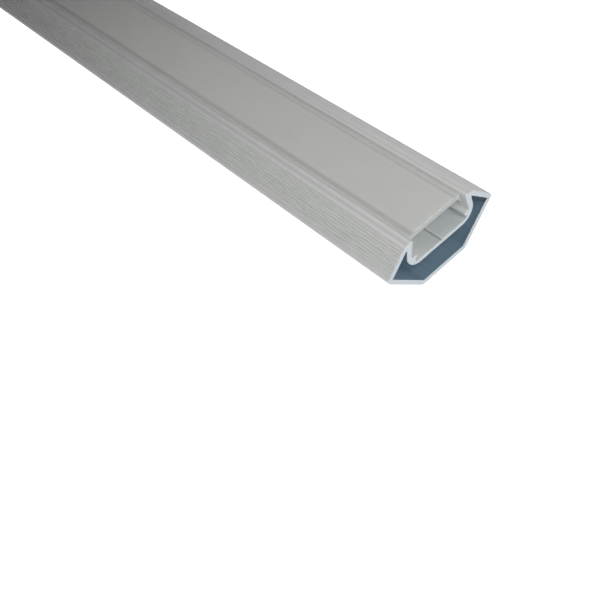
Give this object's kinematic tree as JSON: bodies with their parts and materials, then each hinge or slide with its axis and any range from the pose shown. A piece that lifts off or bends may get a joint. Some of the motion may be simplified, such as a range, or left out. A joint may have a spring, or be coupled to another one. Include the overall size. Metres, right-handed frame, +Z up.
{
  "type": "extrusion profile",
  "caption": "Straight length of 45 degree corner profile for LED strip: anodised aluminium with a closed chamber, grooved side walls and a snap-in frosted cover.",
  "frame": {"origin": "middle of the length, on the narrow base face that the profile lies on", "axes": "+X along the length, +Y across the section, +Z up from the base face to the flat front"},
  "size_m": [1, 0.0262, 0.0131],
  "materials": {
    "anodised_aluminium": "satin silver anodised, bare at the sawn ends",
    "frosted_plastic": "frosted, translucent"
  },
  "bodies": {
    "root": {"profile": "anodised_aluminium", "diffuser_cover": "frosted_plastic"}
  },
  "joints": []
}
